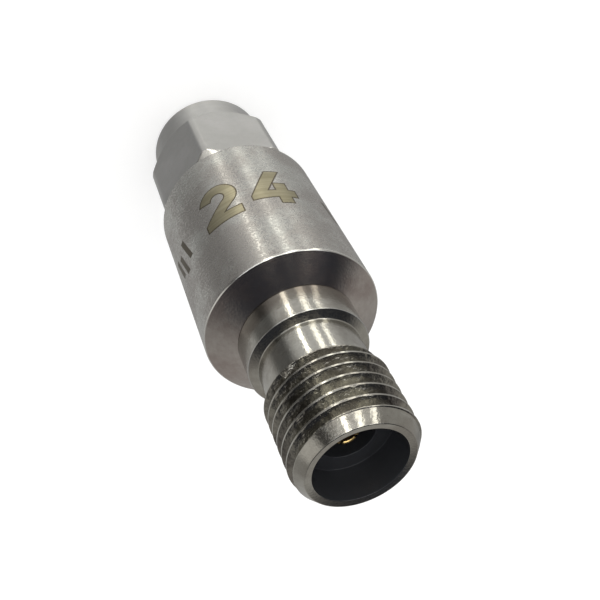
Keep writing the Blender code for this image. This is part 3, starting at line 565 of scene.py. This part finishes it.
# %% [markdown]
# ## Cutting a thread
#
# The jack carries a 1/4-36 thread: a V of 60 degrees with narrow flats on its crests.
# A Boolean with a swept cutter would leave slivers along every crest, and those spoil the reflections.
# Here the rings themselves climb with the angle, one pitch for each turn, so each crest is a clean line.
# At both ends the climbing rings are held back to a flat ring, where the next plain ring takes over.

# %% Thread rings
PITCH = 25.4 / 36
THREAD_CREST = PITCH / 8
FLANK_SLOPE = tan(radians(30))
CREST_EDGE = 0.01
ROOT_EDGE = 0.05
print("pitch in mm:", round(PITCH, 4))


def thread_wave(crest_radius, root_radius):
    """One pitch of the thread as (height, radius) points, with the crest in the middle."""
    depth = abs(crest_radius - root_radius)
    half_crest = THREAD_CREST / 2
    foot = half_crest + depth * FLANK_SLOPE
    outline = [
        (root_radius, -PITCH / 2, 0.0), (root_radius, -foot, ROOT_EDGE),
        (crest_radius, -half_crest, CREST_EDGE), (crest_radius, half_crest, CREST_EDGE),
        (root_radius, foot, ROOT_EDGE), (root_radius, PITCH / 2, 0.0),
    ]
    rounded = round_corners(outline, steps=2, closed=False)
    return [(z, r) for r, z in rounded][:-1]


def thread_rings(wave, low, high, phase, columns, limit):
    """Climbing rings between two heights. limit(radii, heights) trims the thread to the blank."""
    turns = np.linspace(0.0, 1.0, columns + 1)
    heights = np.array([z for z, r in wave])
    radii = np.array([r for z, r in wave])
    first = int(np.floor((low - phase) / PITCH)) - 2
    last = int(np.ceil((high - phase) / PITCH)) + 1
    made = []
    for turn in range(first, last + 1):
        for z, r in wave:
            climbed = phase + (turn + turns) * PITCH + z
            held = np.clip(climbed, low, high)
            offset = (held - phase) / PITCH - turns
            offset = (offset - np.round(offset)) * PITCH
            cut = np.interp(offset, heights, radii, period=PITCH)
            cut = np.where(np.abs(held - climbed) < 1e-9, r, cut)
            made.append((limit(cut, held), held))
    return made


def thread_at(wave, z, phase, columns):
    """Radii of the thread all round at one height."""
    turns = np.linspace(0.0, 1.0, columns + 1)
    offset = (z - phase) / PITCH - turns
    offset = (offset - np.round(offset)) * PITCH
    return np.interp(offset, [p[0] for p in wave], [p[1] for p in wave], period=PITCH)


# %% [markdown]
# ## The jack's shell
#
# The whole jack is one turned bar: spigot inside the sleeve, collar, neck, threaded barrel and a mouth.
# Tubes could be joined for it, but one outline keeps the steps clean and the walls closed.
# The heights come from the frame's box, and the steps between them are the drawing's sizes.
# The thread fades out under the lead-in cone, as a die leaves it.

# %% Jack shell: heights
JACK_COLUMNS = 288
jack_low, jack_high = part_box("jack_shell")
sleeve_low, sleeve_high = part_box("body_sleeve")
LEAD_IN_LENGTH = 0.59
THREAD_LENGTH = 4.32
NECK_LENGTH = 2.08
LEDGE_LENGTH = 0.25
MOUTH_DEPTH = 1.92
mouth_top = jack_high.z / MM
thread_top = mouth_top - LEAD_IN_LENGTH
thread_start = thread_top - THREAD_LENGTH
neck_start = thread_start - NECK_LENGTH
collar_top = neck_start - LEDGE_LENGTH
nose_top = sleeve_high.z / MM
spigot_bottom = jack_low.z / MM
socket_face = mouth_top - MOUTH_DEPTH
jack_steps = (spigot_bottom, nose_top, collar_top, neck_start, thread_start, thread_top, mouth_top)
print("jack's steps at, in mm:", [round(z, 2) for z in jack_steps])

# %% Jack shell: radii and the thread's start
THREAD_R = 3.175
NECK_R = 2.75
COLLAR_R = 3.24
LEDGE_R = NECK_R + 0.46
MOUTH_RIM_R = 2.676
MOUTH_R = 2.325
RIM_FALL = 0.055
LINE_R = 1.46
BEAD_BORE_R = 1.95
SPIGOT_R = 2.87
RUNOUT = 0.26
LEAD_IN_R = 3.11
THREAD_PHASE = thread_top + 0.044 + PITCH * (100.0 / 360.0)
THREAD_FADE = 0.12


def barrel_limit(z):
    """Radius of the blank that the thread is cut in."""
    start = NECK_R + (THREAD_R - NECK_R) * (z - thread_start) / RUNOUT
    cone = LEAD_IN_R + (MOUTH_RIM_R - LEAD_IN_R) * (z - thread_top) / (mouth_top - thread_top)
    blank = np.minimum(THREAD_R, start)
    return np.where(z > thread_top + 1e-6, cone, np.maximum(blank, NECK_R))


# %% Jack shell: outlines below and above the thread
# The first point of the upper part lies on the lead-in cone and holds its shading close to the rim.
outer_thread = thread_wave(THREAD_R, NECK_R)
lower_part = [
    (BEAD_BORE_R, spigot_bottom, 0.03), (SPIGOT_R, spigot_bottom, 0.06),
    (SPIGOT_R, nose_top + 0.02, 0.0), (COLLAR_R, nose_top + 0.02, 0.05),
    (COLLAR_R, collar_top, 0.06), (LEDGE_R, collar_top, 0.01),
    (NECK_R, neck_start - 0.04, 0.07), (NECK_R, thread_start - HOLD, 0.0), (NECK_R, thread_start, 0.0),
]
upper_part = [
    (MOUTH_RIM_R + 0.10, mouth_top - 0.136, 0.0), (MOUTH_RIM_R, mouth_top, 0.05),
    (MOUTH_R, mouth_top - RIM_FALL, 0.03), (MOUTH_R, socket_face, 0.03), (LINE_R, socket_face, 0.03),
    (LINE_R, collar_top, 0.03), (BEAD_BORE_R, collar_top, 0.0), (BEAD_BORE_R, spigot_bottom + 0.1, 0.0),
]

# %% Jack shell: all its rings, from the spigot up to the mouth and back down inside
jack_rings = even_rings(round_corners(lower_part, closed=False)[1:], JACK_COLUMNS)
for z in np.linspace(thread_start, thread_start + RUNOUT, 12)[1:]:
    radii = np.minimum(barrel_limit(z), thread_at(outer_thread, z, THREAD_PHASE, JACK_COLUMNS))
    jack_rings.append((radii, np.full(JACK_COLUMNS + 1, z)))
jack_rings += thread_rings(outer_thread, thread_start + RUNOUT, thread_top, THREAD_PHASE, JACK_COLUMNS,
                           lambda cut, z: np.minimum(cut, THREAD_R))
for z in thread_top + np.array([0.0, 0.015, 0.03, 0.05, 0.07, 0.09, 0.11, 0.13, 0.16, 0.30]):
    blank = barrel_limit(np.full(JACK_COLUMNS + 1, z + 2e-6))
    cut = np.minimum(blank, thread_at(outer_thread, z, THREAD_PHASE, JACK_COLUMNS))
    left = np.clip((z - thread_top) / THREAD_FADE, 0.0, 1.0)
    jack_rings.append((cut + (blank - cut) * left, np.full(JACK_COLUMNS + 1, z)))
jack_rings += even_rings(round_corners(upper_part, closed=False)[1:], JACK_COLUMNS)
jack_fine = ring_piece("jack_shell_fine", jack_rings, JACK_COLUMNS)

# %% Finish of the jack's faces, by where they are
THREAD_SLOT, BORE_SLOT, EDGE_SLOT = 1, 2, 3
for finish in (jack_steel, thread_painted_shade_steel, bore_painted_shade_steel, edge_highlight_steel):
    jack_fine.data.materials.append(finish)
for face in jack_fine.data.polygons:
    middle = face.center / MM
    out_from_axis = sqrt(middle.x ** 2 + middle.y ** 2)
    # The bore's faces get the near-black steel, painted shade.
    if out_from_axis < MOUTH_R + 0.01:
        face.material_index = BORE_SLOT
    # The thread's faces get the darker steel, painted shade in its grooves.
    elif thread_start < middle.z < thread_top + 0.01 and out_from_axis < THREAD_R - 0.01:
        face.material_index = THREAD_SLOT
    # The collar's top edge gets the lighter edge colour, a painted highlight.
    elif abs(middle.z - collar_top) < 0.07 and out_from_axis > COLLAR_R - 0.07:
        face.material_index = EDGE_SLOT
print("faces in the bore:", sum(face.material_index == BORE_SLOT for face in jack_fine.data.polygons))
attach(jack_fine, "housing")
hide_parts("jack_shell")

# %% [markdown]
# ## The sleeve
#
# The sleeve is a plain tube with a shallow cone in front. Its looks are all in its edges and its skin:
# a bright line where the cone meets the barrel, a broken edge at each end, and the satin grain.
# A cylinder with a Bevel modifier would give every edge the same width. The outline gives each its own.

# %% Sleeve: outline
SLEEVE_COLUMNS = 288
SKIN = 0.006
sleeve_r = sleeve_high.x / MM - SKIN
sleeve_bottom = sleeve_low.z / MM
CONE_HEIGHT = 0.83
WALL_DEPTH = 2.13
CONE_LEVEL = 0.84
SHOULDER_LEVEL = 0.30
shoulder = nose_top - CONE_HEIGHT
SLEEVE_BORE_R = 3.95
HOLE_R = SPIGOT_R + 0.03
front_wall = nose_top - WALL_DEPTH
sleeve_outline = [
    (sleeve_r, sleeve_bottom, 0.07), (sleeve_r, shoulder, 0.12), (COLLAR_R, nose_top, 0.03),
    (HOLE_R, nose_top, 0.0), (HOLE_R, front_wall, 0.03), (SLEEVE_BORE_R, front_wall, 0.03),
    (SLEEVE_BORE_R, sleeve_bottom, 0.06),
]

# %% Sleeve: mesh and finish, with the cone and the shoulder told by how level their faces are
sleeve_rings = even_rings(round_corners(sleeve_outline), SLEEVE_COLUMNS)
sleeve_fine = ring_piece("body_sleeve_fine", sleeve_rings, SLEEVE_COLUMNS)
for finish in (sleeve_steel, cone_steel, edge_highlight_steel):
    sleeve_fine.data.materials.append(finish)
for face in sleeve_fine.data.polygons:
    if face.normal.z > CONE_LEVEL and face.center.z / MM > shoulder:
        face.material_index = 1
    # The rounded shoulder gets the lighter edge colour, a painted highlight.
    elif face.normal.z > SHOULDER_LEVEL and face.center.z / MM > shoulder - 0.15:
        face.material_index = 2
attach(sleeve_fine, "housing")
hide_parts("body_sleeve")

# %% [markdown]
# ## The coupling nut
#
# The nut starts as a turned blank with a round end, a cone up to the corners and a chamfer at the rear.
# Then six flats are milled. A Boolean could cut them, but its edges would be knife sharp.
# Taking the smaller of the two radii at each angle gives the same shape, and a soft minimum
# rounds every edge where a flat meets the turned face, which is where the glints sit.

# %% Coupling nut: sizes
NUT_COLUMNS = 360
nut_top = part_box("coupling_nut")[1].z / MM
NUT_END_R = 3.73
NUT_END_CHAMFER = 0.16
NUT_ROUND_TOP = 2.0
NUT_CONE_SLOPE = tan(radians(30))
HEX_FLAT_R = 4.0
HEX_CORNER_R = 4.5
HEX_TURN = 3.0
REAR_CHAMFER = 0.85
SOFT_EDGE = 0.035
NUT_THREAD_R = 2.80
NUT_ROOT_R = 3.20
SHANK_R = 2.62
REAR_BORE_R = SHANK_R + 0.08
NUT_SHOULDER = 5.20
NUT_LEAD_IN = 0.45
NUT_LEAD_IN_R = 3.27
NUT_THREAD_PHASE = 0.3
RING_GROOVE = (5.95, 6.55)
RING_GROOVE_R = REAR_BORE_R + 0.34
REAR_FACE_WIDTH = 0.9
print("nut's rear face at, in mm:", round(nut_top, 2))


def hexagon_radius(angles):
    """Distance from the axis to the six flats, by angle."""
    turned = np.degrees(angles) - HEX_TURN
    from_flat = (turned + 30.0) % 60.0 - 30.0
    return HEX_FLAT_R / np.cos(np.radians(from_flat))


def soft_smaller(first, second, reach):
    """The smaller of two radii, with a fillet where they cross."""
    near = np.maximum(reach - np.abs(first - second), 0.0) / reach
    return np.minimum(first, second) - near * near * reach / 4


# %% Coupling nut: the blank and its flats
nut_angles = np.linspace(0.0, 2 * pi, NUT_COLUMNS + 1)
flats = hexagon_radius(nut_angles)
blank_outline = [
    (NUT_END_R - NUT_END_CHAMFER, 0.0, 0.0), (NUT_END_R, NUT_END_CHAMFER, 0.08),
    (NUT_END_R, NUT_ROUND_TOP, 0.05),
    (HEX_CORNER_R, NUT_ROUND_TOP + (HEX_CORNER_R - NUT_END_R) / NUT_CONE_SLOPE, 0.06),
    (HEX_CORNER_R, nut_top - REAR_CHAMFER, 0.05), (HEX_CORNER_R - REAR_CHAMFER, nut_top, 0.0),
]
blank = round_corners(blank_outline, closed=False)
blank_z = np.array([z for r, z in blank])
blank_r = np.array([r for r, z in blank])
heights = set(np.round(blank_z, 5))
heights |= set(np.round(np.arange(NUT_ROUND_TOP + 0.15, NUT_ROUND_TOP + 1.45, 0.04), 5))
heights |= set(np.round(np.arange(nut_top - REAR_CHAMFER - 0.03, nut_top - 0.3, 0.03), 5))
nut_rings = []
for z in sorted(heights):
    radii = soft_smaller(np.full(NUT_COLUMNS + 1, np.interp(z, blank_z, blank_r)), flats, SOFT_EDGE)
    nut_rings.append((radii, np.full(NUT_COLUMNS + 1, z)))

# %% Coupling nut: the bore, the snap ring's groove and the inner thread
rear = [
    (REAR_BORE_R + REAR_FACE_WIDTH, nut_top, 0.0), (REAR_BORE_R, nut_top, 0.04),
    (REAR_BORE_R, RING_GROOVE[1], 0.03),
    (RING_GROOVE_R, RING_GROOVE[1], 0.03), (RING_GROOVE_R, RING_GROOVE[0], 0.03),
    (REAR_BORE_R, RING_GROOVE[0], 0.03), (REAR_BORE_R, NUT_SHOULDER, 0.0),
]
nut_rings += even_rings(round_corners(rear, closed=False), NUT_COLUMNS)
inner_thread = thread_wave(NUT_THREAD_R, NUT_ROOT_R)
threaded = thread_rings(inner_thread, NUT_LEAD_IN + 0.1, NUT_SHOULDER - 0.25, NUT_THREAD_PHASE,
                        NUT_COLUMNS, lambda cut, z: cut)
nut_rings.append((np.full(NUT_COLUMNS + 1, NUT_THREAD_R), np.full(NUT_COLUMNS + 1, NUT_SHOULDER)))
nut_rings += threaded[::-1]
for z in (0.5, 0.4, 0.3, 0.2, 0.1, 0.0):
    bevel_r = NUT_THREAD_R + (NUT_LEAD_IN - z)
    cut = np.maximum(thread_at(inner_thread, z, NUT_THREAD_PHASE, NUT_COLUMNS), bevel_r)
    nut_rings.append((np.minimum(cut, NUT_LEAD_IN_R), np.full(NUT_COLUMNS + 1, z)))

# %% Coupling nut: mesh and finish, with a painted highlight on the corners of the rear chamfer
nut_fine = ring_piece("coupling_nut_fine", nut_rings, NUT_COLUMNS)
nut_fine.data.materials.append(nut_steel)
nut_fine.data.materials.append(edge_highlight_steel)
for face in nut_fine.data.polygons:
    middle = face.center / MM
    if face.normal.z > 0.4 and 0.45 < nut_top - middle.z < REAR_CHAMFER and middle.xy.length > HEX_FLAT_R:
        face.material_index = 1
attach(nut_fine, "nut")
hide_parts("coupling_nut")

# %% [markdown]
# ## A plain number on the sleeve
#
# Such parts carry a number that a laser has written by heating the steel until it turns straw gold.
# The one here is a plain pair of digits. Text objects would bring a font and flat faces.
# Plain outlines are simpler: each is filled, sliced so that it can bend, and wrapped on the barrel.
# A slightly larger dark copy lies under each gold digit, and shows as its burnt outline.
# Beside the number stand short dark ticks, which count nothing.

# %% Outlines of the digits
NUMBER_MIDDLE = -99.5
NUMBER_HEIGHT_MIDDLE = 13.7
BURNT_REACH = 0.075
SLICE = 0.1
UNDER_LIFT = 0.002
OVER_LIFT = 0.004


def arc_points(centre, reach, start, end, steps=16):
    """Points along an arc, angles in degrees."""
    angles = [radians(start + (end - start) * step / steps) for step in range(steps + 1)]
    return [(centre[0] + reach * cos(a), centre[1] + reach * sin(a)) for a in angles]


def digit_two():
    """The digit 2, 3.25 mm high: a bow, a slant and a foot."""
    bow = (1.20, 0.66)
    foot = [(1.24, -0.80), (2.30, -0.80), (2.30, -1.46), (0.06, -1.46), (0.06, -0.955)]
    return arc_points(bow, 1.13, 165, -38) + foot + arc_points(bow, 0.47, -38, 165)


def digit_four():
    """The digit 4, open at its top: a slant, a bar and an upright."""
    return [
        (1.23, 1.79), (1.99, 1.79), (0.87, -0.19), (1.39, -0.19), (1.39, 0.52), (2.05, 0.52), (2.05, -0.19),
        (2.44, -0.19), (2.44, -0.85), (2.05, -0.85), (2.05, -1.46), (1.39, -1.46), (1.39, -0.85),
        (-0.06, -0.85), (-0.06, -0.48),
    ]


def moved(outline, x, y=0.0):
    """The same outline, shifted."""
    return [(px + x, py + y) for px, py in outline]


def widened(outline, reach):
    """Push a clockwise outline outwards, with mitred corners."""
    made = []
    for index, point in enumerate(outline):
        here_point = Vector(point)
        behind = (here_point - Vector(outline[index - 1])).normalized()
        ahead = (Vector(outline[(index + 1) % len(outline)]) - here_point).normalized()
        away = Vector((-behind.y - ahead.y, behind.x + ahead.x))
        made.append(tuple(here_point + away * reach / (1.0 + behind.dot(ahead))))
    return made


# %% Wrap the outlines on the barrel


def wrap(x, y, lift):
    """A place on the barrel: x runs to the reader's right and y to the top of the digits."""
    angle = radians(NUMBER_MIDDLE) - x / sleeve_r
    reach = sleeve_r + lift
    return Vector((reach * cos(angle), reach * sin(angle), NUMBER_HEIGHT_MIDDLE - y)) * MM


def mark_piece(name, outlines, lift, finish):
    """A laser mark: each outline is filled, cut into narrow slices and wrapped on the barrel."""
    bm = bmesh.new()
    for outline in outlines:
        bm.faces.new([bm.verts.new((x, y, 0.0)) for x, y in outline])
    low_x = min(v.co.x for v in bm.verts)
    high_x = max(v.co.x for v in bm.verts)
    for x in np.arange(low_x + SLICE / 2, high_x, SLICE):
        everything = bm.verts[:] + bm.edges[:] + bm.faces[:]
        bmesh.ops.bisect_plane(bm, geom=everything, dist=1e-6, plane_co=(x, 0, 0), plane_no=(1, 0, 0))
    bmesh.ops.triangulate(bm, faces=bm.faces)
    for vertex in bm.verts:
        vertex.co = wrap(vertex.co.x, vertex.co.y, lift)
    mesh = bpy.data.meshes.new(name)
    bm.to_mesh(mesh)
    bm.free()
    for polygon in mesh.polygons:
        if polygon.normal.dot(Vector((*polygon.center.xy, 0.0))) < 0:
            polygon.flip()
    mesh.shade_smooth()
    mesh.materials.append(finish)
    made = bpy.data.objects.new(name, mesh)
    bpy.context.scene.collection.objects.link(made)
    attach(made, "housing")
    print(name, "has", len(mesh.polygons), "triangles")
    return made


# %% Place the marks
straw_gold = metal("straw_gold_oxide", (0.42, 0.385, 0.275), (0.28, 0.255, 0.17), 0.34, grain=12.0,
                   grain_depth=2.0, rings=9.0, ring_tone=0.6, stretch=0.4, film=0.5, edge_highlight_gain=0.0)
burnt_line = metal("burnt_oxide", (0.13, 0.11, 0.075), (0.08, 0.068, 0.05), 0.40, grain=12.0,
                   grain_depth=2.0, rings=14.0, stretch=0.2, edge_highlight_gain=0.0)
digits = [moved(digit_two(), -2.80), moved(digit_four(), 0.28)]
burnt = [widened(digit, BURNT_REACH) for digit in digits]
mark_piece("number_outline", burnt, UNDER_LIFT, burnt_line)
mark_piece("number_fill", digits, OVER_LIFT, straw_gold)
TICK = [(0.0, 0.0), (0.34, 0.0), (0.79, -1.9), (0.45, -1.9)]
TICK_PLACES = ((-6.5, 0.6), (-5.8, 0.1), (-5.1, 0.6), (4.7, 0.1))
ticks = [moved(TICK, x, y) for x, y in TICK_PLACES]
mark_piece("tick_marks", ticks, UNDER_LIFT, burnt_line)

# %% [markdown]
# ## The pieces inside
#
# Most of the inner pieces can only be seen through the mouth or under the nut, but they are dressed too.
# Their frame solids already have the right shape, so each gets a finish and keeps its mesh.

# %% Inner finishes


def plain_solid(name, light_tone, dark_tone, rough, spots=3.0, depth=1.0, metallic=0.0):
    """A finish without rings, for plastic, ceramic and film."""
    made = bpy.data.materials.new(name)
    made.use_nodes = True
    tree = made.node_tree
    shader = tree.nodes["Principled BSDF"]
    dents = use(tree, blast_grain, Grains_per_mm=spots * 4)
    smear = use(tree, handling_film, Patches_per_mm=0.5)
    colour = blend_colours(tree, smear["Mottle"], (*light_tone, 1.0), (*dark_tone, 1.0))
    put(shader.inputs["Base Color"], colour)
    put(shader.inputs["Roughness"], calc(tree, "MULTIPLY_ADD", dents["Height"], 0.12, rough - 0.06))
    shader.inputs["Metallic"].default_value = metallic
    relief = add(tree, "ShaderNodeBump", Height=dents["Height"], Distance=depth * 1e-6, Strength=1.0)
    put(shader.inputs["Normal"], relief.outputs["Normal"])
    return made


# %% Plated, sprung and moulded materials
gold = metal("gold_plate", (0.80, 0.58, 0.26), (0.64, 0.44, 0.17), 0.30, rings=10.0, stretch=0.0)
brass = metal("plated_brass", (0.70, 0.56, 0.30), (0.56, 0.42, 0.20), 0.30, stretch=0.4)
copper = metal("beryllium_copper", (0.78, 0.50, 0.31), (0.62, 0.37, 0.21), 0.28, stretch=0.0)
spring = metal("spring_steel", (0.50, 0.50, 0.50), (0.38, 0.38, 0.38), 0.24, stretch=0.5)
amber = plain_solid("bead_plastic", (0.50, 0.33, 0.13), (0.42, 0.26, 0.09), 0.42)
alumina = plain_solid("alumina", (0.86, 0.85, 0.82), (0.79, 0.78, 0.75), 0.5)
film_black = plain_solid("resistive_film", (0.07, 0.07, 0.075), (0.04, 0.04, 0.045), 0.5, metallic=0.3)

# %% Dress the inner pieces
FINISHES = {
    "plug_shell": nut_steel, "nut_retaining_ring": copper, "preload_washer": copper,
    "jack_contact": gold, "jack_contact_stem": gold, "plug_pin": gold, "plug_pin_stem": gold,
    "jack_bead": amber, "plug_bead": amber, "jack_bead_ring": brass, "plug_bead_ring": brass,
    "attenuator_chip": alumina, "resistor_film": film_black, "chip_input_pad": gold,
    "chip_output_pad": gold, "chip_ground_pad_left": gold, "chip_ground_pad_right": gold,
    "jack_contact_tab": copper, "plug_contact_tab": copper, "ground_spring_left": copper,
    "ground_spring_right": copper, "carrier_cover": brass, "carrier_base": brass,
    "carrier_dowel_lower": spring, "carrier_dowel_upper": spring,
}
for name, finish in FINISHES.items():
    mesh = nodes[name].data
    mesh.materials.clear()
    mesh.materials.append(finish)
print("dressed inner pieces:", len(FINISHES))
